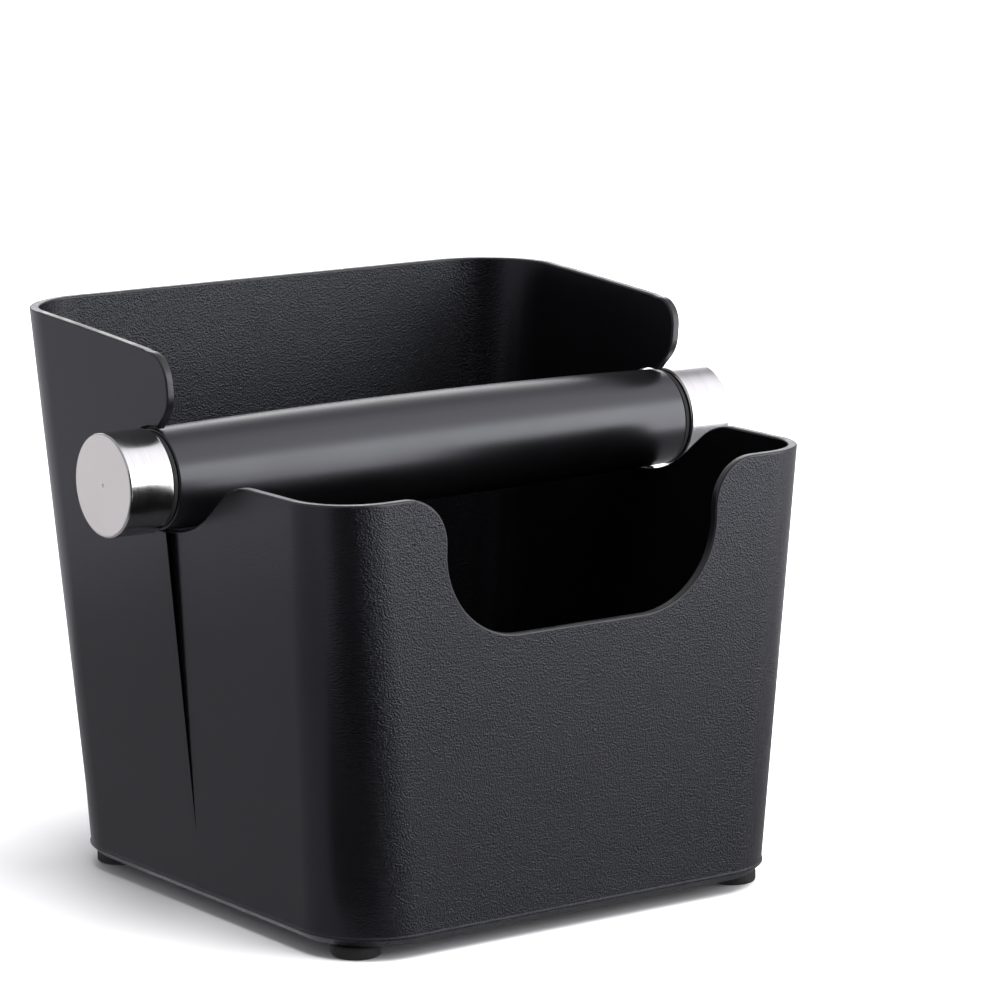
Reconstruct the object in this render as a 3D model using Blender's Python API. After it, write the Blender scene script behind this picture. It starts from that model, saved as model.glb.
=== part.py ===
"""Espresso knock box: an open moulded tub on four feet, with a lift-out rubber covered knock bar.

Units are metres. +Z is up, +X runs along the knock bar and the low wall of the tub faces -Y.
The origin is on the ground at the middle of the whole object.
"""
import math

import bmesh
import bpy
from mathutils import Vector

# Heights above the ground
FOOT_HEIGHT = 0.0030
FLOOR_TOP = 0.0055
STEP_START = 0.0170
FRONT_TOP = 0.0955
BACK_TOP = 0.1230
UNTRIMMED_TOP = 0.1300

# Tub outline: the walls lean outwards as they rise
WALL = 0.0020
HALF_WIDTH_BASE = 0.0575
SIDE_LEAN = 0.0634
STEP_LEAN = 0.0225
FRONT_BASE_Y = -0.0589
FRONT_TOP_Y = -0.0608
BACK_BASE_Y = 0.0531
BACK_TOP_Y = 0.0608
FRONT_CORNER = 0.0169
FRONT_CORNER_GROWTH = -0.0290
BACK_CORNER = 0.0165
BACK_CORNER_GROWTH = 0.0230
BASE_CHAMFER = 0.0012
STEP_Y = -0.0012
STEP_Y_LEAN = 0.0260
STEP_TURN = 0.0825
STEP_CLEAR = 0.0950
STEP_Y_UPPER = -0.0090
CORNER_SEGMENTS = 10

# Knock bar, along X
BAR_Y = 0.0004
BAR_Z = 0.0930
SLEEVE_HALF = 0.0659
SLEEVE_RADIUS = 0.0106
SLEEVE_CROWN = 0.0010
SLEEVE_EDGE = 0.0005
CORE_HALF = 0.0668
CORE_RADIUS = 0.0070
CORE_WALL = 0.0015
CAP_INNER_X = 0.0673
CAP_OUTER_X = 0.0780
CAP_RADIUS = 0.0109
CAP_CHAMFER = 0.0004
SPIGOT_LENGTH = 0.0140
RING_THICKNESS = 0.0008
RING_RADIUS = 0.0103
FIT_GAP = 0.0003
TURNED_SEGMENTS = 64

# Seat of the bar in each side wall, and the wall's top edge
SEAT_RADIUS = 0.0110
SEAT_FRONT_RADIUS = 0.0260
HUMP_RADIUS = 0.0167
SEAT_SLOPE = math.radians(38.5)
EXIT_SLOPE = math.radians(29.5)
WING_FRONT_Y = -0.0065
WING_TOP_RADIUS = 0.0060
WING_LIP_RADIUS = 0.0020
WING_START_Y = 0.0430
WING_FALL = 0.0550
WING_CURVE = 0.25

# Low opening in the front wall
NOTCH_HALF_WIDTH = 0.0343
NOTCH_BOTTOM = 0.0648
NOTCH_SHOULDER = 0.0100
NOTCH_CORNER = 0.0185

# Feet
FOOT_RADIUS = 0.0052
FOOT_X = 0.0490
FOOT_FRONT_Y = -0.0485
FOOT_BACK_Y = 0.0430
FOOT_EDGE = 0.0005
FOOT_SEGMENTS = 32

CUTTER_REACH = 0.0900


def clear_scene():
    for item in list(bpy.data.objects):
        bpy.data.objects.remove(item, do_unlink=True)


def make_material(name, colour, roughness, metallic=0.0):
    material = bpy.data.materials.new(name)
    material.use_nodes = True
    shader = material.node_tree.nodes["Principled BSDF"]
    shader.inputs["Base Color"].default_value = (*colour, 1.0)
    shader.inputs["Roughness"].default_value = roughness
    shader.inputs["Metallic"].default_value = metallic
    return material


def add_object(name, mesh, material=None, parent=None):
    item = bpy.data.objects.new(name, mesh)
    bpy.context.scene.collection.objects.link(item)
    if material:
        mesh.materials.append(material)
    if parent:
        item.parent = parent
    return item


def add_empty(name, location):
    empty = bpy.data.objects.new(name, None)
    empty.location = location
    bpy.context.scene.collection.objects.link(empty)
    return empty


def finish_mesh(name, work, smooth_angle=35.0):
    """Weld the bmesh, point its faces outwards and turn it into a mesh."""
    bmesh.ops.remove_doubles(work, verts=work.verts, dist=0.000001)
    bmesh.ops.dissolve_degenerate(work, edges=work.edges, dist=0.000001)
    bmesh.ops.recalc_face_normals(work, faces=work.faces)
    mesh = bpy.data.meshes.new(name)
    work.to_mesh(mesh)
    work.free()
    mesh.shade_smooth()
    mesh.set_sharp_from_angle(angle=math.radians(smooth_angle))
    return mesh


def arc(centre, radius, start, end, steps):
    """Points of an arc in a plane, with its angles in degrees."""
    points = []
    for index in range(steps + 1):
        angle = math.radians(start + (end - start) * index / steps)
        points.append((centre[0] + radius * math.cos(angle), centre[1] + radius * math.sin(angle)))
    return points


def step_place(height):
    """Where the wider back part of a side wall begins: above the seat it takes in the whole wing."""
    if height <= STEP_TURN:
        return STEP_Y + STEP_Y_LEAN * (height - STEP_TURN)
    rise = min((height - STEP_TURN) / (STEP_CLEAR - STEP_TURN), 1.0)
    return STEP_Y + (STEP_Y_UPPER - STEP_Y) * rise


def tub_ring(height, inset, step_shift=0.0):
    """Plan outline of the tub at one height, drawn in from the outer wall by an inset."""
    rise = height - FOOT_HEIGHT
    front_half = HALF_WIDTH_BASE + SIDE_LEAN * rise - inset
    back_half = front_half + STEP_LEAN * max(height - STEP_START, 0.0)
    front_y = FRONT_BASE_Y + (FRONT_TOP_Y - FRONT_BASE_Y) * rise / (FRONT_TOP - FOOT_HEIGHT) + inset
    back_y = BACK_BASE_Y + (BACK_TOP_Y - BACK_BASE_Y) * rise / (BACK_TOP - FOOT_HEIGHT) - inset
    step_y = step_place(height) + step_shift
    front_radius = FRONT_CORNER + FRONT_CORNER_GROWTH * rise - inset
    back_radius = BACK_CORNER + BACK_CORNER_GROWTH * rise - inset
    right = arc((front_half - front_radius, front_y + front_radius), front_radius, -90, 0, CORNER_SEGMENTS)
    right += [(front_half, step_y), (back_half, step_y)]
    right += arc((back_half - back_radius, back_y - back_radius), back_radius, 0, 90, CORNER_SEGMENTS)
    left = [(-x, y) for x, y in reversed(right)]
    return [(x, y, height) for x, y in right + left]


def tub_blank():
    """The tub before its rim is cut: outer wall, rim, inner wall and floor as one closed body."""
    bends = [STEP_START, STEP_TURN, STEP_CLEAR, UNTRIMMED_TOP]
    rings = [tub_ring(FOOT_HEIGHT, BASE_CHAMFER), tub_ring(FOOT_HEIGHT + BASE_CHAMFER, 0.0)]
    rings += [tub_ring(height, 0.0) for height in bends]
    rings += [tub_ring(height, WALL, WALL) for height in reversed(bends)]
    rings += [tub_ring(FLOOR_TOP + BASE_CHAMFER, WALL), tub_ring(FLOOR_TOP, WALL + BASE_CHAMFER)]
    work = bmesh.new()
    loops = [[work.verts.new(point) for point in ring] for ring in rings]
    count = len(loops[0])
    for lower, upper in zip(loops, loops[1:]):
        for index in range(count):
            after = (index + 1) % count
            work.faces.new((lower[index], lower[after], upper[after], upper[index]))
    work.faces.new(list(reversed(loops[0])))
    work.faces.new(loops[-1])
    return finish_mesh("tub_blank", work)


def extruded_outline(name, outline, place, depth):
    """A closed prism: place turns an outline point into a corner, and depth is its sweep."""
    work = bmesh.new()
    corners = [work.verts.new(place(point)) for point in outline]
    face = work.faces.new(corners)
    swept = bmesh.ops.extrude_face_region(work, geom=[face])
    moved = [item for item in swept["geom"] if isinstance(item, bmesh.types.BMVert)]
    bmesh.ops.translate(work, verts=moved, vec=depth)
    return finish_mesh(name, work)


def wing_top_height(y):
    """The high part of a side wall falls gently, and a little faster, towards the front."""
    run = max(WING_START_Y - y, 0.0)
    return BACK_TOP - WING_FALL * run - WING_CURVE * run * run


def side_profile():
    """(y, z) outline of the space above the side walls, from the back to the front."""
    outline = [(CUTTER_REACH, BACK_TOP), (WING_START_Y, BACK_TOP)]
    corner_y = WING_FRONT_Y + WING_TOP_RADIUS
    for step in range(1, 8):
        y = WING_START_Y + (corner_y - WING_START_Y) * step / 8
        outline.append((y, wing_top_height(y)))
    corner_z = wing_top_height(corner_y) - WING_TOP_RADIUS
    outline += arc((corner_y, corner_z), WING_TOP_RADIUS, 86, 180, 8)

    # underside of the wing: it runs along the way that the bar leaves
    along = Vector((-math.cos(EXIT_SLOPE), math.sin(EXIT_SLOPE)))
    across = Vector((math.sin(EXIT_SLOPE), math.cos(EXIT_SLOPE)))
    touch = Vector((BAR_Y, BAR_Z)) + across * SEAT_RADIUS
    lip_y = WING_FRONT_Y + WING_LIP_RADIUS
    lip_offset = touch + across * WING_LIP_RADIUS
    lip_z = lip_offset.y + along.y * (lip_y - lip_offset.x) / along.x
    exit_degrees = math.degrees(EXIT_SLOPE)
    outline += arc((lip_y, lip_z), WING_LIP_RADIUS, 180, 270 - exit_degrees, 4)

    # round the back of the bar and down to the bottom of its seat
    outline += arc((BAR_Y, BAR_Z), SEAT_RADIUS, 90 - exit_degrees, -90, 20)

    # up the ramp and over the hump to the level front half
    slope_degrees = math.degrees(SEAT_SLOPE)
    bottom_z = BAR_Z - SEAT_RADIUS
    ramp_centre = (BAR_Y, bottom_z + SEAT_FRONT_RADIUS)
    outline += arc(ramp_centre, SEAT_FRONT_RADIUS, -90, -90 - slope_degrees, 6)[1:]
    ramp_y, ramp_z = outline[-1]
    hump_centre_z = FRONT_TOP - HUMP_RADIUS
    hump_foot_z = hump_centre_z + HUMP_RADIUS * math.cos(SEAT_SLOPE)
    hump_foot_y = ramp_y - (hump_foot_z - ramp_z) / math.tan(SEAT_SLOPE)
    hump_centre = (hump_foot_y - HUMP_RADIUS * math.sin(SEAT_SLOPE), hump_centre_z)
    outline += arc(hump_centre, HUMP_RADIUS, 90 - slope_degrees, 90, 6)
    outline += [(-CUTTER_REACH, FRONT_TOP), (-CUTTER_REACH, 2 * BACK_TOP), (CUTTER_REACH, 2 * BACK_TOP)]
    return outline


def notch_profile():
    """(x, z) outline of the U-shaped opening in the front wall."""
    shoulder_x = NOTCH_HALF_WIDTH + NOTCH_SHOULDER
    corner_x = NOTCH_HALF_WIDTH - NOTCH_CORNER
    right = arc((corner_x, NOTCH_BOTTOM + NOTCH_CORNER), NOTCH_CORNER, -90, 0, 10)
    right += arc((shoulder_x, FRONT_TOP - NOTCH_SHOULDER), NOTCH_SHOULDER, 180, 91, 8)
    right += [(shoulder_x, 2 * BACK_TOP)]
    left = [(-x, z) for x, z in reversed(right)]
    return right + left


def add_cutter(target, name, mesh):
    cutter = add_object(name, mesh)
    cutter.hide_render = True
    cutter.display_type = "WIRE"
    cut = target.modifiers.new(name, "BOOLEAN")
    cut.operation = "DIFFERENCE"
    cut.solver = "EXACT"
    cut.object = cutter


def add_tub(material):
    tub = add_object("tub", tub_blank(), material)
    side = extruded_outline(
        "rim_cutter",
        side_profile(),
        lambda point: (-CUTTER_REACH, point[0], point[1]),
        Vector((2 * CUTTER_REACH, 0, 0)),
    )
    front = extruded_outline(
        "notch_cutter",
        notch_profile(),
        lambda point: (point[0], -CUTTER_REACH, point[1]),
        Vector((0, CUTTER_REACH + FRONT_BASE_Y / 2, 0)),
    )
    add_cutter(tub, "rim_cutter", side)
    add_cutter(tub, "notch_cutter", front)
    return tub


def turned_mesh(name, profile, closed, axis, segments=TURNED_SEGMENTS):
    """Turn a profile of (along, radius) points about an axis through the origin."""
    radial = Vector((0, 0, 1)) if axis.x else Vector((1, 0, 0))
    work = bmesh.new()
    verts = [work.verts.new(axis * along + radial * radius) for along, radius in profile]
    pairs = list(zip(verts, verts[1:]))
    if closed:
        pairs.append((verts[-1], verts[0]))
    edges = [work.edges.new(pair) for pair in pairs]
    bmesh.ops.spin(
        work, geom=verts + edges, cent=(0, 0, 0), axis=axis, angle=math.tau, steps=segments, use_merge=True
    )
    return finish_mesh(name, work)


def add_feet(material):
    top = FOOT_HEIGHT - FIT_GAP
    profile = [
        (0.0, 0.0),
        (0.0, FOOT_RADIUS - FOOT_EDGE),
        (FOOT_EDGE, FOOT_RADIUS),
        (top, FOOT_RADIUS),
        (top, 0.0),
    ]
    mesh = turned_mesh("foot", profile, False, Vector((0, 0, 1)), FOOT_SEGMENTS)
    mesh.materials.append(material)
    for end, y in (("front", FOOT_FRONT_Y), ("back", FOOT_BACK_Y)):
        for side, sign in (("left", -1), ("right", 1)):
            foot = add_object(f"foot_{end}_{side}", mesh)
            foot.location = (sign * FOOT_X, y, 0.0)


def sleeve_profile():
    """Outer side of the sleeve is slightly crowned, so it is thickest at the middle."""
    inner = CORE_RADIUS + FIT_GAP
    profile = [(-SLEEVE_HALF, inner), (-SLEEVE_HALF, SLEEVE_RADIUS - SLEEVE_EDGE)]
    steps = 12
    for index in range(steps + 1):
        along = (SLEEVE_HALF - SLEEVE_EDGE) * (2 * index / steps - 1)
        radius = SLEEVE_RADIUS + SLEEVE_CROWN * (1 - (along / SLEEVE_HALF) ** 2)
        profile.append((along, radius))
    profile += [(SLEEVE_HALF, SLEEVE_RADIUS - SLEEVE_EDGE), (SLEEVE_HALF, inner)]
    return profile


def cap_profile():
    """A turned cap with a spigot that goes into the core tube."""
    spigot = CORE_RADIUS - CORE_WALL - FIT_GAP
    spigot_end = CAP_INNER_X - SPIGOT_LENGTH
    return [
        (spigot_end, 0.0),
        (spigot_end, spigot - CAP_CHAMFER),
        (spigot_end + CAP_CHAMFER, spigot),
        (CAP_INNER_X, spigot),
        (CAP_INNER_X, CAP_RADIUS - CAP_CHAMFER),
        (CAP_INNER_X + CAP_CHAMFER, CAP_RADIUS),
        (CAP_OUTER_X - CAP_CHAMFER, CAP_RADIUS),
        (CAP_OUTER_X, CAP_RADIUS - CAP_CHAMFER),
        (CAP_OUTER_X, 0.0),
    ]


def add_knock_bar(steel, core_steel, rubber, ring_rubber):
    bar = add_empty("knock_bar_axis", (0.0, BAR_Y, BAR_Z))
    right = Vector((1, 0, 0))
    left = Vector((-1, 0, 0))

    bore = CORE_RADIUS - CORE_WALL
    core_profile = [(-CORE_HALF, bore), (-CORE_HALF, CORE_RADIUS), (CORE_HALF, CORE_RADIUS), (CORE_HALF, bore)]
    add_object("bar_core_tube", turned_mesh("core", core_profile, True, right), core_steel, bar)
    add_object("bar_sleeve", turned_mesh("sleeve", sleeve_profile(), True, right), rubber, bar)

    ring_start = SLEEVE_HALF + FIT_GAP
    ring_end = ring_start + RING_THICKNESS
    ring_bore = CORE_RADIUS + FIT_GAP
    ring_profile = [
        (ring_start, ring_bore),
        (ring_start, RING_RADIUS),
        (ring_end, RING_RADIUS),
        (ring_end, ring_bore),
    ]
    for side, axis in (("left", left), ("right", right)):
        add_object(f"end_cap_{side}", turned_mesh("cap", cap_profile(), False, axis), steel, bar)
        add_object(f"cap_ring_{side}", turned_mesh("ring", ring_profile, True, axis), ring_rubber, bar)


def main():
    clear_scene()
    black_plastic = make_material("black_plastic", (0.028, 0.029, 0.032), 0.50)
    black_rubber = make_material("black_rubber", (0.018, 0.018, 0.020), 0.42)
    foot_rubber = make_material("foot_rubber", (0.012, 0.012, 0.012), 0.75)
    turned_steel = make_material("turned_steel", (0.62, 0.61, 0.59), 0.24, 1.0)
    tube_steel = make_material("tube_steel", (0.45, 0.45, 0.46), 0.40, 1.0)
    add_tub(black_plastic)
    add_feet(foot_rubber)
    add_knock_bar(turned_steel, tube_steel, black_rubber, foot_rubber)


main()
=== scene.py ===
import math

import bmesh
import bpy
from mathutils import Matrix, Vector


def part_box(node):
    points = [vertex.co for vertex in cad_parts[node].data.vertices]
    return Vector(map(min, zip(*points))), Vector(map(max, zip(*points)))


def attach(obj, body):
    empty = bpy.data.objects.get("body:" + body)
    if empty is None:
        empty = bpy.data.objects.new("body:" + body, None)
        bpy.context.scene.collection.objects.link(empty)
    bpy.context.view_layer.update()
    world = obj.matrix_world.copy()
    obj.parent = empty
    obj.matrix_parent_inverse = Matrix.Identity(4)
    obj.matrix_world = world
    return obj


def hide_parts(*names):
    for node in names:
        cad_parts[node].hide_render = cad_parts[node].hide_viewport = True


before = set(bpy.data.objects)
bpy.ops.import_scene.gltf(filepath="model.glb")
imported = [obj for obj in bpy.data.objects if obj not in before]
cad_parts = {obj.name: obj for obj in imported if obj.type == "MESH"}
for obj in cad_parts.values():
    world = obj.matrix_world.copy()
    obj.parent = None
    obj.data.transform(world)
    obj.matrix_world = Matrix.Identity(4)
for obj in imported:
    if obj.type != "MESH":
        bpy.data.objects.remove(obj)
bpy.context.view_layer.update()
print("frame loaded:", len(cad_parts), "nodes")


# small helpers

def deselectAll():
    if bpy.context.object and bpy.context.object.mode != "OBJECT":
        bpy.ops.object.mode_set(mode="OBJECT")
    bpy.ops.object.select_all(action="DESELECT")


def activate(piece):
    deselectAll()
    piece.select_set(True)
    bpy.context.view_layer.objects.active = piece


def editMesh(piece):
    activate(piece)
    bpy.ops.object.mode_set(mode="EDIT")
    return bmesh.from_edit_mesh(piece.data)


def selectFaces(piece, test):
    # in edit mode: leaves only the faces that pass the test selected
    bpy.ops.mesh.select_mode(type="FACE")
    bpy.ops.mesh.select_all(action="DESELECT")
    work = bmesh.from_edit_mesh(piece.data)
    for face in work.faces:
        face.select_set(test(face))
    work.select_flush_mode()
    bmesh.update_edit_mesh(piece.data)


def selectEdges(piece, test):
    # in edit mode: leaves only the edges that pass the test selected
    bpy.ops.mesh.select_mode(type="EDGE")
    bpy.ops.mesh.select_all(action="DESELECT")
    work = bmesh.from_edit_mesh(piece.data)
    for edge in work.edges:
        edge.select_set(test(edge))
    work.select_flush_mode()
    bmesh.update_edit_mesh(piece.data)


def leaveEdit():
    bpy.ops.object.mode_set(mode="OBJECT")


def bakePlace(piece):
    # the finished piece's object sits at the origin, with its place in its mesh
    activate(piece)
    bpy.ops.object.transform_apply(location=True, rotation=True, scale=True)


def applyModifiers(piece):
    activate(piece)
    for modifier in list(piece.modifiers):
        bpy.ops.object.modifier_apply(modifier=modifier.name)


def smoothPiece(piece, degrees):
    activate(piece)
    bpy.ops.object.shade_smooth_by_angle(angle=math.radians(degrees))
    modifier = piece.modifiers.new("evenNormals", "WEIGHTED_NORMAL")
    modifier.keep_sharp = True
    applyModifiers(piece)


def arcPoints(centre, radius, start, end, steps):
    # points of an arc in a plane, with its angles in degrees
    turn = (end - start) / steps
    angles = [math.radians(start + turn * index) for index in range(steps + 1)]
    return [(centre[0] + radius * math.cos(a), centre[1] + radius * math.sin(a)) for a in angles]


def loftRings(name, rings):
    # a filled ring is laid on the first outline and extruded on to each of the others
    deselectAll()
    bpy.ops.mesh.primitive_circle_add(vertices=len(rings[0]), radius=0.05, fill_type="NGON")
    piece = bpy.context.object
    piece.name = name
    piece.data.name = name
    work = editMesh(piece)
    place = work.verts.layers.int.new("ringPlace")  # each corner keeps its number as it is extruded
    work.verts.ensure_lookup_table()
    for number, vert in enumerate(work.verts):
        vert[place] = number
        vert.co = rings[0][number]
    bmesh.update_edit_mesh(piece.data)
    bpy.ops.mesh.select_all(action="SELECT")
    for ring in rings[1:]:
        bpy.ops.mesh.extrude_region_move()
        work = bmesh.from_edit_mesh(piece.data)
        place = work.verts.layers.int["ringPlace"]
        for vert in work.verts:
            if vert.select:
                vert.co = ring[vert[place]]
        bmesh.update_edit_mesh(piece.data)
    work = bmesh.from_edit_mesh(piece.data)
    work.verts.layers.int.remove(work.verts.layers.int["ringPlace"])
    bmesh.update_edit_mesh(piece.data)
    bpy.ops.mesh.select_all(action="SELECT")
    bpy.ops.mesh.remove_doubles(threshold=0.000002)
    bpy.ops.mesh.dissolve_degenerate(threshold=0.000002)
    bpy.ops.mesh.normals_make_consistent(inside=False)
    leaveEdit()
    return piece


# material helpers

def newMaterial(name, colour, roughness, metallic=0.0, specular=0.5):
    material = bpy.data.materials.new(name)
    material.use_nodes = True
    shader = material.node_tree.nodes["Principled BSDF"]
    shader.inputs["Base Color"].default_value = (*colour, 1.0)
    shader.inputs["Roughness"].default_value = roughness
    shader.inputs["Metallic"].default_value = metallic
    shader.inputs["Specular IOR Level"].default_value = specular
    return material, material.node_tree.nodes, material.node_tree.links, shader


def objectSpace(nodes, links, scale=(1, 1, 1), shift=(0, 0, 0), turn=(0, 0, 0)):
    place = nodes.new("ShaderNodeTexCoord")
    mapping = nodes.new("ShaderNodeMapping")
    mapping.inputs["Location"].default_value = shift
    mapping.inputs["Rotation"].default_value = turn
    mapping.inputs["Scale"].default_value = scale
    links.new(place.outputs["Object"], mapping.inputs["Vector"])
    return mapping.outputs["Vector"]


def noise(nodes, links, vector, scale, detail=3.0, roughness=0.55):
    texture = nodes.new("ShaderNodeTexNoise")
    texture.inputs["Scale"].default_value = scale
    texture.inputs["Detail"].default_value = detail
    texture.inputs["Roughness"].default_value = roughness
    links.new(vector, texture.inputs["Vector"])
    return texture.outputs["Fac"]


def spread(nodes, links, value, low, high, fromLow=0.0, fromHigh=1.0):
    band = nodes.new("ShaderNodeMapRange")
    band.inputs["From Min"].default_value = fromLow
    band.inputs["From Max"].default_value = fromHigh
    band.inputs["To Min"].default_value = low
    band.inputs["To Max"].default_value = high
    links.new(value, band.inputs["Value"])
    return band.outputs["Result"]


def combine(nodes, links, operation, first, second):
    step = nodes.new("ShaderNodeMath")
    step.operation = operation
    for socket, value in zip(step.inputs, (first, second)):
        if isinstance(value, (int, float)):
            socket.default_value = value
        else:
            links.new(value, socket)
    return step.outputs["Value"]


def blendTwo(nodes, links, first, second, share):
    # share of the first, the rest of the second
    return combine(nodes, links, "ADD", combine(nodes, links, "MULTIPLY", first, share),
                   combine(nodes, links, "MULTIPLY", second, 1 - share))


def tint(nodes, links, factor, look):
    ramp = nodes.new("ShaderNodeValToRGB")
    ramp.color_ramp.elements[0].color = (*look["dark"], 1.0)
    ramp.color_ramp.elements[1].color = (*look["light"], 1.0)
    links.new(factor, ramp.inputs["Fac"])
    return ramp.outputs["Color"]


def addBump(nodes, links, shader, height, strength, distance):
    bump = nodes.new("ShaderNodeBump")
    bump.inputs["Strength"].default_value = strength
    bump.inputs["Distance"].default_value = distance
    links.new(height, bump.inputs["Height"])
    links.new(bump.outputs["Normal"], shader.inputs["Normal"])
    return bump


grainLook = {
    "dark": (0.0020, 0.0020, 0.0025),
    "light": (0.0040, 0.0040, 0.0048),
    "specularTint": (0.87, 0.90, 1.0),
    "baseRoughness": 0.45,
    "roughness": (0.30, 0.40),
    "cellScale": 2700.0,   # moulded grain cells of a little under half a millimetre
    "smoothness": 0.7,
    "wanderScale": 0.35,   # of the cells' own scale
    "wander": 0.0005,
    "fineScale": 5000.0,
    "fineHeight": 0.55,
    "patchScale": 38.0,
    "strength": 1.0,
    "depth": 0.00014,
    "turn": (0.7, 0.5, 0.9),   # slanted, so the noise doesn't line up with the walls
    "sideShare": 0.12,     # the two side walls come out of the mould almost plain
    "sideRoughness": -0.13,
    "grainFades": (0.45, 0.85),   # how far a wall faces sideways
    "glossFades": (0.12, 0.42),
}


def grainedPlastic(name, look):
    material, nodes, links, shader = newMaterial(name, look["dark"], look["baseRoughness"])
    shader.inputs["Specular Tint"].default_value = (*look["specularTint"], 1.0)
    vector = objectSpace(nodes, links, turn=look["turn"])
    cells = nodes.new("ShaderNodeTexVoronoi")
    cells.feature = "SMOOTH_F1"
    cells.inputs["Scale"].default_value = look["cellScale"]
    cells.inputs["Smoothness"].default_value = look["smoothness"]
    wander = noise(nodes, links, vector, look["cellScale"] * look["wanderScale"], 2.0)
    shifted = nodes.new("ShaderNodeVectorMath")
    shifted.operation = "MULTIPLY_ADD"
    shifted.inputs[1].default_value = (look["wander"],) * 3
    links.new(wander, shifted.inputs[0])
    links.new(vector, shifted.inputs[2])
    links.new(shifted.outputs["Vector"], cells.inputs["Vector"])
    fine = noise(nodes, links, vector, look["fineScale"], 2.0, 0.6)
    height = combine(nodes, links, "ADD", cells.outputs["Distance"],
                     combine(nodes, links, "MULTIPLY", fine, look["fineHeight"]))
    facing = nodes.new("ShaderNodeTexCoord")
    sideways = nodes.new("ShaderNodeSeparateXYZ")
    links.new(facing.outputs["Normal"], sideways.inputs["Vector"])
    plain = combine(nodes, links, "ABSOLUTE", sideways.outputs["X"], 0.0)
    share = spread(nodes, links, plain, look["strength"], look["strength"] * look["sideShare"],
                   *look["grainFades"])
    bump = addBump(nodes, links, shader, height, look["strength"], look["depth"])
    links.new(share, bump.inputs["Strength"])
    patches = noise(nodes, links, vector, look["patchScale"], 4.0)
    links.new(tint(nodes, links, patches, look), shader.inputs["Base Color"])
    handled = blendTwo(nodes, links, patches, fine, 0.6)
    gloss = combine(nodes, links, "ADD", spread(nodes, links, handled, *look["roughness"], 0.3, 0.7),
                    spread(nodes, links, plain, 0.0, look["sideRoughness"], *look["glossFades"]))
    links.new(gloss, shader.inputs["Roughness"])
    return material


# the cut edge of the wall is smooth and a little worn
rimLook = {
    "base": (0.02, 0.02, 0.022),
    "baseRoughness": 0.3,
    "dark": (0.003, 0.003, 0.004),
    "light": (0.010, 0.010, 0.011),
    "roughness": (0.22, 0.46),
    "rubScale": 210.0,
    "fineScale": 900.0,
    "bump": 0.12,
    "depth": 0.00004,
}


def rimPlastic(name, look):
    material, nodes, links, shader = newMaterial(name, look["base"], look["baseRoughness"])
    vector = objectSpace(nodes, links)
    rubbed = noise(nodes, links, vector, look["rubScale"], 5.0, 0.65)
    links.new(tint(nodes, links, rubbed, look), shader.inputs["Base Color"])
    links.new(spread(nodes, links, rubbed, *look["roughness"], 0.3, 0.7), shader.inputs["Roughness"])
    fine = noise(nodes, links, vector, look["fineScale"], 3.0)
    addBump(nodes, links, shader, fine, look["bump"], look["depth"])
    return material


# painted shade: the slot's faces get a near-black colour that stands in for the shade deep inside the
# narrow slot, where hardly any light comes back
slotShadeLook = {
    "base": (0.0008, 0.0008, 0.0009),
    "baseRoughness": 0.8,
    "specular": 0.04,
    "dark": (0.0005, 0.0005, 0.0006),
    "light": (0.0015, 0.0015, 0.0016),
    "speckleScale": 700.0,
}


def paintedSlotShade(name, look):
    material, nodes, links, shader = newMaterial(name, look["base"], look["baseRoughness"],
                                                 specular=look["specular"])
    speckle = noise(nodes, links, objectSpace(nodes, links), look["speckleScale"], 3.0)
    links.new(tint(nodes, links, speckle, look), shader.inputs["Base Color"])
    return material


sleeveLook = {
    "base": (0.003, 0.003, 0.0035),
    "baseRoughness": 0.33,
    "specular": 0.76,
    "specularTint": (0.92, 0.937, 1.0),
    "dark": (0.0020, 0.0020, 0.0024),
    "light": (0.0040, 0.0040, 0.0046),
    "roughness": (0.28, 0.38),
    "dragStretch": (14.0, 420.0, 420.0),
    "dragHeight": 0.8,
    "cloudScale": 55.0,
    "fineScale": 1500.0,
    "bump": 0.10,
    "depth": 0.00005,
}


def sleeveRubber(name, look):
    material, nodes, links, shader = newMaterial(name, look["base"], look["baseRoughness"],
                                                 specular=look["specular"])
    shader.inputs["Specular Tint"].default_value = (*look["specularTint"], 1.0)
    vector = objectSpace(nodes, links)
    lengthwise = objectSpace(nodes, links, look["dragStretch"])
    drag = noise(nodes, links, lengthwise, 1.0, 4.0, 0.6)
    cloud = noise(nodes, links, vector, look["cloudScale"], 4.0)
    links.new(tint(nodes, links, cloud, look), shader.inputs["Base Color"])
    worn = blendTwo(nodes, links, cloud, drag, 0.75)
    links.new(spread(nodes, links, worn, *look["roughness"], 0.2, 0.8), shader.inputs["Roughness"])
    height = combine(nodes, links, "ADD", noise(nodes, links, vector, look["fineScale"], 2.0),
                     combine(nodes, links, "MULTIPLY", drag, look["dragHeight"]))
    addBump(nodes, links, shader, height, look["bump"], look["depth"])
    return material


dullLook = {
    "base": (0.006, 0.006, 0.006),
    "baseRoughness": 0.7,
    "dark": (0.004, 0.004, 0.004),
    "light": (0.012, 0.012, 0.012),
    "roughness": (0.6, 0.85),
    "crumbScale": 1300.0,
    "bump": 0.35,
    "depth": 0.00008,
}


def dullRubber(name, look):
    material, nodes, links, shader = newMaterial(name, look["base"], look["baseRoughness"])
    crumb = noise(nodes, links, objectSpace(nodes, links), look["crumbScale"], 4.0, 0.7)
    links.new(tint(nodes, links, crumb, look), shader.inputs["Base Color"])
    links.new(spread(nodes, links, crumb, *look["roughness"], 0.3, 0.7), shader.inputs["Roughness"])
    addBump(nodes, links, shader, crumb, look["bump"], look["depth"])
    return material


# painted light: the end faces get a much brighter copy of the same steel than the sides, for the pale
# sheen the faces show
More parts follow.
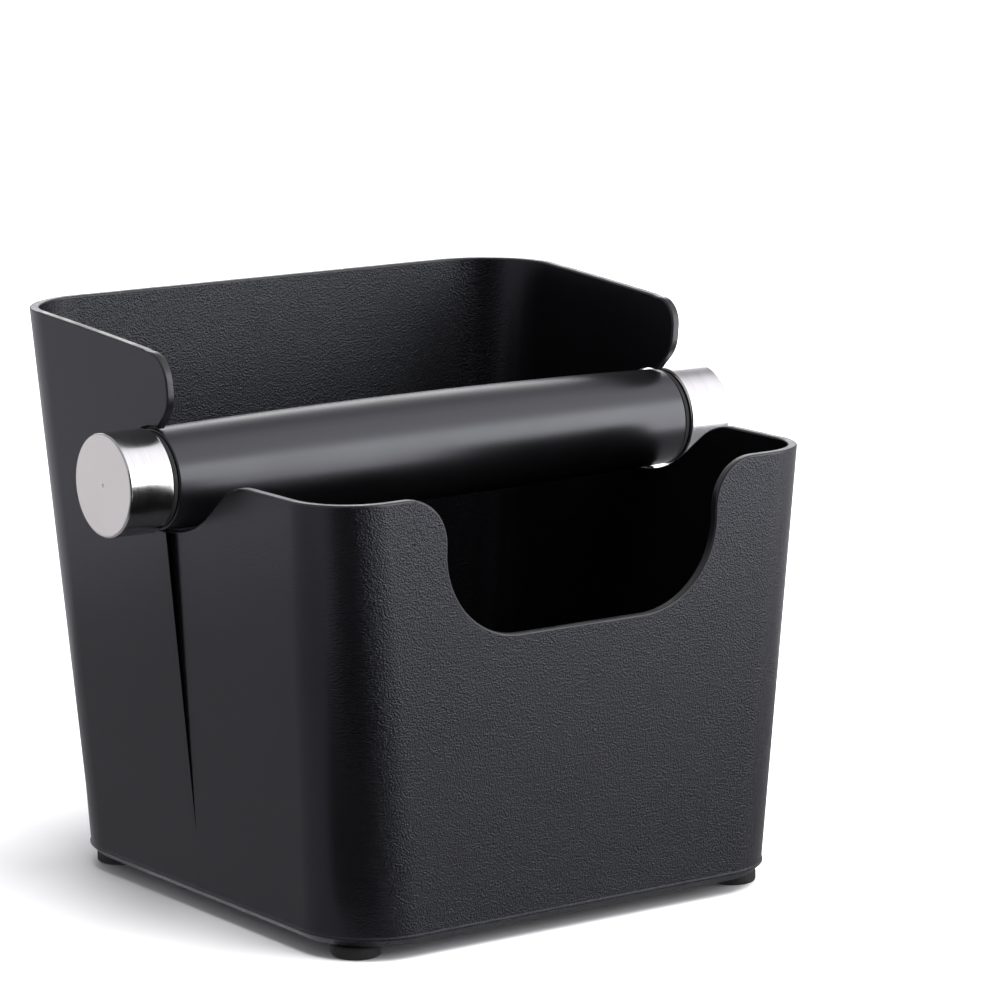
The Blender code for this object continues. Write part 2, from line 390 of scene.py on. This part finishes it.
paintedLightFaceLook = {"dark": (0.88, 0.85, 0.82), "light": (0.97, 0.94, 0.91), "roughness": (0.30, 0.40),
            "scale": 2600.0, "bump": 0.10, "anisotropic": 0.35}
sideLook = {"dark": (0.48, 0.475, 0.47), "light": (0.76, 0.755, 0.75), "roughness": (0.14, 0.26),
            "scale": 3000.0, "bump": 0.14, "anisotropic": 0.3}
turnedMarks = {"baseRoughness": 0.22, "broadScale": 0.18, "smudgeScale": 140.0, "depth": 0.00001}


def turnedSteel(name, axisY, axisZ, look):
    # turned marks run round the bar's axis, on the faces as rings and along the sides as bands
    material, nodes, links, shader = newMaterial(name, look["light"], turnedMarks["baseRoughness"], 1.0)
    vector = objectSpace(nodes, links, shift=(0.0, -axisY, -axisZ))
    parts = nodes.new("ShaderNodeSeparateXYZ")
    links.new(vector, parts.inputs["Vector"])
    y2 = combine(nodes, links, "MULTIPLY", parts.outputs["Y"], parts.outputs["Y"])
    z2 = combine(nodes, links, "MULTIPLY", parts.outputs["Z"], parts.outputs["Z"])
    radius = combine(nodes, links, "SQRT", combine(nodes, links, "ADD", y2, z2), 0.0)
    lathe = nodes.new("ShaderNodeCombineXYZ")
    links.new(radius, lathe.inputs["X"])
    links.new(parts.outputs["X"], lathe.inputs["Y"])
    rings = noise(nodes, links, lathe.outputs["Vector"], look["scale"], 3.0, 0.7)
    broad = noise(nodes, links, lathe.outputs["Vector"], look["scale"] * turnedMarks["broadScale"],
                  2.0, 0.5)
    marks = blendTwo(nodes, links, rings, broad, 0.6)
    smudge = noise(nodes, links, vector, turnedMarks["smudgeScale"], 4.0, 0.6)
    links.new(tint(nodes, links, marks, look), shader.inputs["Base Color"])
    gloss = blendTwo(nodes, links, marks, smudge, 0.6)
    links.new(spread(nodes, links, gloss, *look["roughness"], 0.3, 0.7), shader.inputs["Roughness"])
    addBump(nodes, links, shader, marks, look["bump"], turnedMarks["depth"])
    shader.inputs["Anisotropic"].default_value = look["anisotropic"]
    tangent = nodes.new("ShaderNodeTangent")
    tangent.direction_type = "RADIAL"
    tangent.axis = "X"
    links.new(tangent.outputs["Tangent"], shader.inputs["Tangent"])
    return material


drawnLook = {
    "base": (0.42, 0.42, 0.43),
    "baseRoughness": 0.4,
    "dark": (0.34, 0.34, 0.35),
    "light": (0.50, 0.50, 0.51),
    "roughness": (0.3, 0.5),
    "streakStretch": (20.0, 900.0, 900.0),
    "bump": 0.2,
    "depth": 0.00004,
}


def drawnSteel(name, look):
    material, nodes, links, shader = newMaterial(name, look["base"], look["baseRoughness"], 1.0)
    streaks = noise(nodes, links, objectSpace(nodes, links, look["streakStretch"]), 1.0, 4.0, 0.6)
    links.new(tint(nodes, links, streaks, look), shader.inputs["Base Color"])
    links.new(spread(nodes, links, streaks, *look["roughness"], 0.3, 0.7), shader.inputs["Roughness"])
    addBump(nodes, links, shader, streaks, look["bump"], look["depth"])
    return material


sleeveLow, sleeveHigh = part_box("bar_sleeve")
barY = (sleeveLow.y + sleeveHigh.y) / 2
barZ = (sleeveLow.z + sleeveHigh.z) / 2

plasticGrain = grainedPlastic("mouldedGrain", grainLook)
plasticRim = rimPlastic("rubbedRim", rimLook)
slotShadeMaterial = paintedSlotShade("paintedSlotShade", slotShadeLook)
rubberSatin = sleeveRubber("sleeveRubber", sleeveLook)
rubberDull = dullRubber("dullRubber", dullLook)
steelFacePaintedLight = turnedSteel("turnedFacePaintedLight", barY, barZ, paintedLightFaceLook)
steelSide = turnedSteel("turnedSide", barY, barZ, sideLook)
steelDrawn = drawnSteel("drawnSteel", drawnLook)
print("materials made")


# tub

tubLow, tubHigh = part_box("tub")
tubShape = {
    "wall": 0.0020,
    "baseHalf": 0.0575,          # half the width at the base
    "sideLean": 0.0634,
    "rearLean": 0.0225,          # how much more the rear part leans out
    "rearStart": 0.0170,
    "frontY": (tubLow.y + 0.0019, tubLow.y),   # at the base and at the front rim
    "backY": (tubHigh.y - 0.0077, tubHigh.y),
    "frontRim": 0.0955,
    "frontCorner": 0.0169,
    "frontCornerGrowth": -0.0290,
    "backCorner": 0.0165,
    "backCornerGrowth": 0.0230,
    "floorTop": 0.0055,
    "loftTop": 0.130,            # above the back rim, and cut off with the sides
    "cornerSteps": 22,
    "edgeRound": 0.00042,
    # rise and inset of each ring round the base, and of each ring from the inner wall to the floor
    "baseEdge": ((0.0, 0.0014), (0.0003, 0.0011), (0.0013, 0.0001), (0.0016, -0.00022),
                 (0.0020, -0.00025), (0.0023, 0.0)),
    "floorEdge": ((0.0016, 0.0), (0.0005, 0.0005), (0.0, 0.0016)),
}
stepShape = {"knee": 0.0825, "kneeY": -0.0012, "lean": 0.0260, "bendEnd": 0.0950, "bendDepth": 0.0078}
slotShape = {"beyondX": 0.0585, "betweenY": (-0.006, -0.0005), "below": 0.0830, "margin": 0.00016,
             "depth": 0.0026}
sideShape = {
    "backEnd": 0.043,
    "wingStart": -0.0005,
    "fall": 0.055,
    "curve": 0.25,
    "curveSteps": 17,
    "wingCorner": ((-0.0005, 0.1140), 0.0060),
    "wingTip": ((0.0000, 0.1116), 0.0065),
    "seatRadius": 0.0110,
    "slope": 38.5,               # of the ramp up to the hump, in degrees
    "rampRadius": 0.0260,
    "humpRadius": 0.0167,
}
notchShape = {"half": 0.0343, "bottom": 0.0648, "corner": 0.0185, "shoulder": 0.0100, "inside": -0.03}
cutReach = 0.09
cutTop = 0.2


def stepLine(height):
    # where the wider rear part of a side wall begins
    shape = stepShape
    above = height - shape["knee"]
    if above <= 0:
        return shape["kneeY"] + shape["lean"] * above
    return shape["kneeY"] - shape["bendDepth"] * min(above / (shape["bendEnd"] - shape["knee"]), 1.0)


def tubOutline(height, inset, stepShift=0.0):
    shape = tubShape
    rise = height - tubLow.z
    frontHalf = shape["baseHalf"] + shape["sideLean"] * rise - inset
    rearHalf = frontHalf + shape["rearLean"] * max(height - shape["rearStart"], 0.0)
    frontRise = rise / (shape["frontRim"] - tubLow.z)
    backRise = rise / (tubHigh.z - tubLow.z)
    frontY = shape["frontY"][0] + (shape["frontY"][1] - shape["frontY"][0]) * frontRise + inset
    backY = shape["backY"][0] + (shape["backY"][1] - shape["backY"][0]) * backRise - inset
    frontRadius = shape["frontCorner"] + shape["frontCornerGrowth"] * rise - inset
    backRadius = shape["backCorner"] + shape["backCornerGrowth"] * rise - inset
    steps = shape["cornerSteps"]
    stepY = stepLine(height) + stepShift
    right = arcPoints((frontHalf - frontRadius, frontY + frontRadius), frontRadius, -90, 0, steps)
    right += [(frontHalf, stepY), (rearHalf, stepY)]
    right += arcPoints((rearHalf - backRadius, backY - backRadius), backRadius, 0, 90, steps)
    left = [(-x, y) for x, y in reversed(right)]
    return [(x, y, height) for x, y in right + left]


def sideOutline():
    # (y, z) outline of what is cut away above the side walls, from the back to the front
    shape = sideShape
    backEnd, steps, slope = shape["backEnd"], shape["curveSteps"], shape["slope"]
    outline = [(cutReach, tubHigh.z), (backEnd, tubHigh.z)]
    for step in range(1, steps):
        y = backEnd + (shape["wingStart"] - backEnd) * step / steps
        run = backEnd - y
        outline.append((y, tubHigh.z - shape["fall"] * run - shape["curve"] * run * run))
    outline += arcPoints(*shape["wingCorner"], 84, 180, 14)      # rounded upper corner of the wing
    outline += arcPoints(*shape["wingTip"], 180, 224, 8)         # its tip curls under to the bar
    outline += arcPoints((barY, barZ), shape["seatRadius"], 100, -90, 44)   # seat, behind the bar
    rampCentre = (barY, barZ - shape["seatRadius"] + shape["rampRadius"])
    outline += arcPoints(rampCentre, shape["rampRadius"], -90, -90 - slope, 14)[1:]
    rampY, rampZ = outline[-1]
    humpZ = tubShape["frontRim"] - shape["humpRadius"]
    footZ = humpZ + shape["humpRadius"] * math.cos(math.radians(slope))
    footY = rampY - (footZ - rampZ) / math.tan(math.radians(slope))
    humpY = footY - shape["humpRadius"] * math.sin(math.radians(slope))
    outline += arcPoints((humpY, humpZ), shape["humpRadius"], 90 - slope, 90, 14)
    outline += [(-cutReach, tubShape["frontRim"]), (-cutReach, cutTop), (cutReach, cutTop)]
    return outline


def notchOutline():
    # (x, z) outline of the opening in the front wall
    half, bottom, corner = notchShape["half"], notchShape["bottom"], notchShape["corner"]
    shoulder = notchShape["shoulder"]
    right = arcPoints((half - corner, bottom + corner), corner, -90, 0, 22)
    right += arcPoints((half + shoulder, tubShape["frontRim"] - shoulder), shoulder, 180, 91, 14)
    right += [(half + shoulder, cutTop)]
    return right + [(-x, z) for x, z in reversed(right)]


def cutAway(piece, cutter):
    cutter.data.materials.append(plasticRim)
    modifier = piece.modifiers.new("cut", "BOOLEAN")
    modifier.operation = "DIFFERENCE"
    modifier.solver = "EXACT"
    modifier.material_mode = "TRANSFER"
    modifier.object = cutter
    applyModifiers(piece)
    bpy.data.objects.remove(cutter, do_unlink=True)


def isStepFace(face):
    # the faces of the step below the bar, where the slot opens
    middle = face.calc_center_median()
    nearest, furthest = slotShape["betweenY"]
    return (face.normal.y < -0.9 and abs(middle.x) > slotShape["beyondX"]
            and nearest < middle.y < furthest and middle.z < slotShape["below"])


def makeTub():
    shape = tubShape
    bends = [shape["rearStart"], stepShape["knee"], stepShape["bendEnd"], shape["loftTop"]]
    rings = [tubOutline(tubLow.z + rise, inset) for rise, inset in shape["baseEdge"]]
    rings += [tubOutline(height, 0.0) for height in bends]
    rings += [tubOutline(height, shape["wall"], shape["wall"]) for height in reversed(bends)]
    rings += [tubOutline(shape["floorTop"] + rise, shape["wall"] + inset)
              for rise, inset in shape["floorEdge"]]
    tub = loftRings("knock_box_tub", rings)
    tub.data.materials.append(plasticGrain)

    # the open slot between the front and rear parts of each side wall, its faces coloured near-black as
    # painted shade
    tub.data.materials.append(slotShadeMaterial)
    editMesh(tub)
    selectFaces(tub, isStepFace)
    work = bmesh.from_edit_mesh(tub.data)
    for face in work.faces:
        if face.select:
            face.material_index = 1
    bmesh.update_edit_mesh(tub.data)
    bpy.ops.mesh.inset(thickness=slotShape["margin"], use_even_offset=True)
    bpy.ops.mesh.extrude_region_move(TRANSFORM_OT_translate={"value": (0.0, slotShape["depth"], 0.0)})
    leaveEdit()

    side = [[(x, y, z) for y, z in sideOutline()] for x in (-cutReach, cutReach)]
    cutAway(tub, loftRings("sideCutter", side))
    front = [[(x, y, z) for x, z in notchOutline()] for y in (-cutReach, notchShape["inside"])]
    cutAway(tub, loftRings("notchCutter", front))

    # round over the cut rim
    rimIndex = [slot.name for slot in tub.data.materials].index(plasticRim.name)
    editMesh(tub)
    selectEdges(tub, lambda edge: len(edge.link_faces) == 2
                and len([face for face in edge.link_faces if face.material_index == rimIndex]) == 1
                and edge.calc_face_angle(0.0) > 0.5)
    bpy.ops.mesh.bevel(offset=shape["edgeRound"], segments=3, affect="EDGES", clamp_overlap=False,
                       material=rimIndex, loop_slide=True)
    bpy.ops.mesh.select_all(action="SELECT")
    bpy.ops.mesh.remove_doubles(threshold=0.000004)
    bpy.ops.mesh.dissolve_degenerate(threshold=0.000004)
    leaveEdit()
    smoothPiece(tub, 38.0)
    return tub


tub = makeTub()
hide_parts("tub")
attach(tub, "tub")
print("tub made:", len(tub.data.polygons), "faces")


# turned pieces of the knock bar

def turnedPiece(name, stations, material, segments=144):
    # stations are (x, radius) pairs along the bar's axis, from one end to the other
    circle = [2 * math.pi * index / segments for index in range(segments)]
    rings = [[(x, barY + radius * math.sin(a), barZ + radius * math.cos(a)) for a in circle]
             for x, radius in stations]
    piece = loftRings(name, rings)
    piece.data.materials.append(material)
    return piece


capLow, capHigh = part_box("end_cap_left")
capShape = {
    "radius": (capHigh.z - capLow.z) / 2,
    "inner": 0.0673,
    "spigotEnd": 0.0533,
    "spigotRadius": 0.0052,
    "spigotChamfer": 0.0006,
    # distance along the bar and depth below the radius, on the inner and the outer edge
    "innerEdge": ((0.0, 0.0005), (0.00015, 0.00015), (0.0005, 0.0)),
    "outerEdge": ((0.00050, 0.0), (0.00032, 0.00005), (0.00014, 0.00016), (0.00003, 0.00034),
                  (0.0, 0.00055), (0.0, 0.00085)),
    "rim": 0.00105,
    "dish": 0.00003,
    "dimple": 0.00022,
    "dimpleRadius": 0.00042,
    "dimpleLip": 0.00004,
    "dimpleBottom": 0.00012,
    "faceDepth": 0.002,
}


def makeCap(name, sign):
    shape = capShape
    outer = sign * -capLow.x
    inner = sign * shape["inner"]
    spigotEnd = sign * shape["spigotEnd"]
    radius, spigot, chamfer = shape["radius"], shape["spigotRadius"], shape["spigotChamfer"]
    dish, dimpleRadius = shape["dish"], shape["dimpleRadius"]
    stations = [(spigotEnd, spigot - chamfer), (spigotEnd + sign * chamfer, spigot), (inner, spigot)]
    stations += [(inner + sign * along, radius - below) for along, below in shape["innerEdge"]]
    stations += [(outer - sign * along, radius - below) for along, below in shape["outerEdge"]]
    stations += [
        (outer - sign * dish, radius - shape["rim"]),
        (outer - sign * dish * 1.3, radius * 0.5),
        (outer - sign * dish * 1.5, dimpleRadius * 1.3),
        (outer - sign * (dish * 1.5 + shape["dimpleLip"]), dimpleRadius),
        (outer - sign * (dish * 1.5 + shape["dimple"]), shape["dimpleBottom"]),
    ]
    cap = turnedPiece(name, stations, steelSide)
    # the end faces take the brighter steel copy, which is painted light
    cap.data.materials.append(steelFacePaintedLight)
    for face in cap.data.polygons:
        nearEnd = sign * face.center.x > sign * outer - shape["faceDepth"]
        face.material_index = 1 if nearEnd and abs(face.normal.x) > 0.9 else 0
    return cap


for side, sign in (("left", -1), ("right", 1)):
    cap = makeCap("steel_cap_" + side, sign)
    smoothPiece(cap, 50.0)
    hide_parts("end_cap_" + side)
    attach(cap, "knock_bar")
print("caps made")

sleeveShape = {
    "radius": 0.0106,
    "crown": 0.0010,
    "edge": 0.00035,
    "edgeAngles": (25, 50, 75),
    "bore": 0.0077,
    "steps": 36,
}


def makeSleeve():
    shape = sleeveShape
    half = sleeveHigh.x
    radius, edge, steps = shape["radius"], shape["edge"], shape["steps"]
    rounding = [(half - edge * (1 - math.cos(a)), radius - edge * (1 - math.sin(a)))
                for a in (math.radians(degrees) for degrees in shape["edgeAngles"])]
    rightEnd = [*reversed(rounding), (half, radius - edge), (half, shape["bore"])]
    stations = [(-x, across) for x, across in reversed(rightEnd)]
    for index in range(steps + 1):
        along = (half - edge) * (2 * index / steps - 1)
        stations.append((along, radius + shape["crown"] * (1 - (along / half) ** 2)))
    stations += rightEnd
    sleeve = turnedPiece("rubber_sleeve", stations, rubberSatin)
    # the bore: both end discs are taken off and the openings joined
    editMesh(sleeve)
    selectFaces(sleeve, lambda face: len(face.verts) > 8)
    bpy.ops.mesh.delete(type="ONLY_FACE")
    selectEdges(sleeve, lambda edge: edge.is_boundary)
    bpy.ops.mesh.bridge_edge_loops()
    bpy.ops.mesh.select_all(action="SELECT")
    bpy.ops.mesh.normals_make_consistent(inside=False)
    leaveEdit()
    smoothPiece(sleeve, 40.0)
    return sleeve


sleeve = makeSleeve()
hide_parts("bar_sleeve")
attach(sleeve, "knock_bar")
print("sleeve made")


# feet

footShape = {"edge": 0.0006, "inset": 0.35, "segments": 96}


def makeFoot(name, node):
    low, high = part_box(node)
    radius = (high.x - low.x) / 2
    deselectAll()
    bpy.ops.mesh.primitive_cylinder_add(vertices=footShape["segments"], radius=radius,
                                        depth=high.z - low.z, location=(low + high) / 2)
    foot = bpy.context.object
    foot.name = name
    foot.data.name = name
    foot.data.materials.append(rubberDull)
    bakePlace(foot)
    editMesh(foot)
    selectFaces(foot, lambda face: abs(face.normal.z) > 0.9)
    bpy.ops.mesh.inset(thickness=radius * footShape["inset"])
    selectEdges(foot, lambda edge: edge.calc_face_angle(0.0) > 1.0)
    bpy.ops.mesh.bevel(offset=footShape["edge"], segments=4, affect="EDGES")
    leaveEdit()
    smoothPiece(foot, 40.0)
    return foot


for node in ("foot_front_left", "foot_front_right", "foot_back_left", "foot_back_right"):
    foot = makeFoot(node.replace("foot", "rubber_foot"), node)
    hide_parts(node)
    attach(foot, "tub")
print("feet made")

# CAD nodes that stay as they are
for node, material in (("bar_core_tube", steelDrawn), ("cap_ring_left", rubberDull),
                       ("cap_ring_right", rubberDull)):
    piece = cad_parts[node]
    piece.data.materials.clear()
    piece.data.materials.append(material)


# floor, light and camera

studio = {
    "sun": {"power": 5.0, "angle": 45.0, "turn": (16.0, 8.0)},
    "panels": [
        # name, azimuth, elevation, distance, width, height, power
        ("keyPanel", 40.0, 16.0, 0.95, 0.80, 0.56, 4.7),
        ("backPanel", 150.0, 24.0, 1.10, 0.90, 0.45, 3.0),
    ],
    "panelAim": (0.0, 0.0, 0.06),
    "roomBright": 0.66,
    "roomDark": 0.0,
    "darkSide": (-28.0, 0.0),
    "roomEdge": (0.77, 0.88),
    "brightGround": (46.0, -32.0),
    "groundGain": 7.5,
    "groundEdge": (0.82, 1.0),
    "highGlow": (55.0, 44.0),
    "glowGain": 1.15,
    "glowEdge": (0.76, 0.98),
    "ceilingShare": 0.70,
    "ceilingEdge": (0.2, 0.9),
    "backdrop": 1.1,
    "roomColour": (0.96, 0.94, 1.0),
    # x, y, radius and grey of each mat, with the lowest one first
    "mats": [(-0.15, 0.05, 0.20, 0.33), (0.13, -0.13, 0.20, 0.32), (-0.125, -0.165, 0.115, 0.01)],
    "matLowest": -0.004,
    "matGap": 0.001,
}
floorLook = {"base": (0.86, 0.86, 0.86), "dark": (0.85, 0.85, 0.85), "light": (0.87, 0.87, 0.87),
             "roughness": 0.75, "specular": 0.2, "cloudScale": 3.0}


def layDisc(name, radius, place):
    deselectAll()
    bpy.ops.mesh.primitive_circle_add(vertices=96, radius=radius, fill_type="NGON", location=place)
    disc = bpy.context.object
    disc.name = name
    return disc


def makeFloor():
    floor = layDisc("studio_floor", 9.0, (0, 0, 0))
    look = floorLook
    material, nodes, links, shader = newMaterial("paleFloor", look["base"], look["roughness"],
                                                 specular=look["specular"])
    cloud = noise(nodes, links, objectSpace(nodes, links), look["cloudScale"], 3.0)
    links.new(tint(nodes, links, cloud, look), shader.inputs["Base Color"])
    floor.data.materials.append(material)
    floor.visible_glossy = False

    # mats that show in reflections only, so the walls darken towards the ground
    for number, (x, y, radius, grey) in enumerate(studio["mats"]):
        height = studio["matLowest"] + studio["matGap"] * number
        mat = layDisc("studio_mat_" + str(number + 1), radius, (x, y, height))
        material = newMaterial("mat" + str(number + 1), (grey, grey, grey), 0.9, specular=0.1)[0]
        mat.data.materials.append(material)
        mat.visible_camera = False
        mat.visible_diffuse = False
        mat.visible_shadow = False


def direction(azimuth, elevation):
    # azimuth 0 lies towards -Y, where the low wall faces, and grows towards +X
    a, e = math.radians(azimuth), math.radians(elevation)
    return Vector((math.sin(a) * math.cos(e), -math.cos(a) * math.cos(e), math.sin(e)))


def addPanel(name, azimuth, elevation, distance, width, height, power):
    deselectAll()
    aim = Vector(studio["panelAim"])
    place = aim + direction(azimuth, elevation) * distance
    bpy.ops.object.light_add(type="AREA", location=place)
    panel = bpy.context.object
    panel.name = name
    panel.data.shape = "RECTANGLE"
    panel.data.size = width
    panel.data.size_y = height
    panel.data.energy = power
    panel.rotation_euler = (aim - place).to_track_quat("-Z", "Y").to_euler()


def addSun(power, angle, turn):
    # kept out of reflections, where it would draw a second bright line along the sleeve
    deselectAll()
    bpy.ops.object.light_add(type="SUN", location=(0, 0, 2))
    sun = bpy.context.object
    sun.name = "overheadLight"
    sun.data.energy = power
    sun.data.angle = math.radians(angle)
    sun.visible_glossy = False
    sun.rotation_euler = (math.radians(turn[0]), math.radians(turn[1]), 0.0)


def lightRoom():
    # a pale room that is dark on one side, with bright ground in front and a glow overhead
    world = bpy.data.worlds.new("studioRoom")
    bpy.context.scene.world = world
    world.use_nodes = True
    nodes, links = world.node_tree.nodes, world.node_tree.links
    background = nodes["Background"]
    place = nodes.new("ShaderNodeTexCoord")

    def towards(azimuth, elevation):
        facing = nodes.new("ShaderNodeVectorMath")
        facing.operation = "DOT_PRODUCT"
        facing.inputs[1].default_value = direction(azimuth, elevation)
        links.new(place.outputs["Generated"], facing.inputs[0])
        return facing.outputs["Value"]

    shade = spread(nodes, links, towards(*studio["darkSide"]), studio["roomBright"], studio["roomDark"],
                   *studio["roomEdge"])
    ground = spread(nodes, links, towards(*studio["brightGround"]), 0.0, studio["groundGain"],
                    *studio["groundEdge"])
    ceiling = spread(nodes, links, towards(0.0, 90.0), 1.0, studio["ceilingShare"], *studio["ceilingEdge"])
    glow = spread(nodes, links, towards(*studio["highGlow"]), 0.0, studio["glowGain"], *studio["glowEdge"])
    shade = combine(nodes, links, "ADD", combine(nodes, links, "MULTIPLY", shade, ceiling), ground)
    shade = combine(nodes, links, "ADD", shade, glow)
    # the backdrop itself is evenly pale
    path = nodes.new("ShaderNodeLightPath")
    level = nodes.new("ShaderNodeMix")
    links.new(path.outputs["Is Camera Ray"], level.inputs["Factor"])
    links.new(shade, level.inputs["A"])
    level.inputs["B"].default_value = studio["backdrop"]
    links.new(level.outputs["Result"], background.inputs["Strength"])
    background.inputs["Color"].default_value = (*studio["roomColour"], 1.0)


view = {
    "azimuth": -35.962,
    "elevation": 10.758,
    "distance": 1.041,
    "target": (0.0231, 0.0009, 0.0787),
    "lens": 171.9,
    "sensor": 36.0,
    "clip": (0.01, 50.0),
}


def makeCamera():
    deselectAll()
    aim = Vector(view["target"])
    place = aim + direction(view["azimuth"], view["elevation"]) * view["distance"]
    bpy.ops.object.camera_add(location=place)
    camera = bpy.context.object
    camera.name = "studioCamera"
    camera.rotation_euler = (math.radians(90 - view["elevation"]), 0.0, math.radians(view["azimuth"]))
    camera.data.lens = view["lens"]
    camera.data.sensor_width = view["sensor"]
    camera.data.clip_start, camera.data.clip_end = view["clip"]
    bpy.context.scene.camera = camera


makeFloor()
addSun(**studio["sun"])
for panel in studio["panels"]:
    addPanel(*panel)
lightRoom()
makeCamera()
bpy.context.scene.view_settings.view_transform = "Standard"
print("studio ready")
